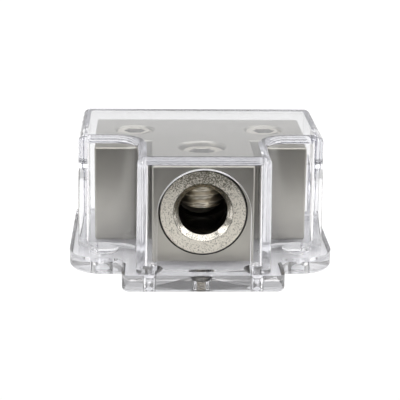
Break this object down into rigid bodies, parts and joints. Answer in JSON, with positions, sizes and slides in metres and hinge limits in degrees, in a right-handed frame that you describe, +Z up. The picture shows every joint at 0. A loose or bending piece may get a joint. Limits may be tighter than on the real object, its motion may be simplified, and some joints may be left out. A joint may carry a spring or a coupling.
{
  "type": "power distribution block",
  "caption": "T-shaped metal terminal block with a front cable port, side cable ports and set screws, on a clear base plate with ears under a clear lift-off cover.",
  "frame": {"origin": "centre of the base plate's underside", "axes": "+X across the wide bar to the right, +Y to the back, -Y out of the front cable port, +Z up"},
  "size_m": [0.0544, 0.0482, 0.0272],
  "materials": {
    "clear_base": "clear moulded plastic",
    "clear_cover": "clear moulded plastic",
    "satin_nickel": "satin nickel plate",
    "ring_nickel": "bright nickel plate",
    "screw_steel": "nickel-plated steel"
  },
  "bodies": {
    "base": {"base_plate": "clear_base", "terminal_block": "satin_nickel", "port_ring": "ring_nickel", "holding_screws": "screw_steel"},
    "cover": {"cover": "clear_cover"},
    "front_screw": {"front_set_screw": "screw_steel"},
    "left_screw": {"left_set_screw": "screw_steel"},
    "right_screw": {"right_set_screw": "screw_steel"}
  },
  "joints": [
    {"name": "cover_lift", "type": "slide", "parent": "base", "child": "cover", "axis": [0, 0, 1], "range_m": [0, 0.04]},
    {"name": "front_screw_travel", "type": "slide", "parent": "base", "child": "front_screw", "axis": [0, 0, 1], "range_m": [-0.003, 0.001]},
    {"name": "left_screw_travel", "type": "slide", "parent": "base", "child": "left_screw", "axis": [0, 0, 1], "range_m": [-0.005, 0.001]},
    {"name": "right_screw_travel", "type": "slide", "parent": "base", "child": "right_screw", "axis": [0, 0, 1], "range_m": [-0.005, 0.001]}
  ]
}
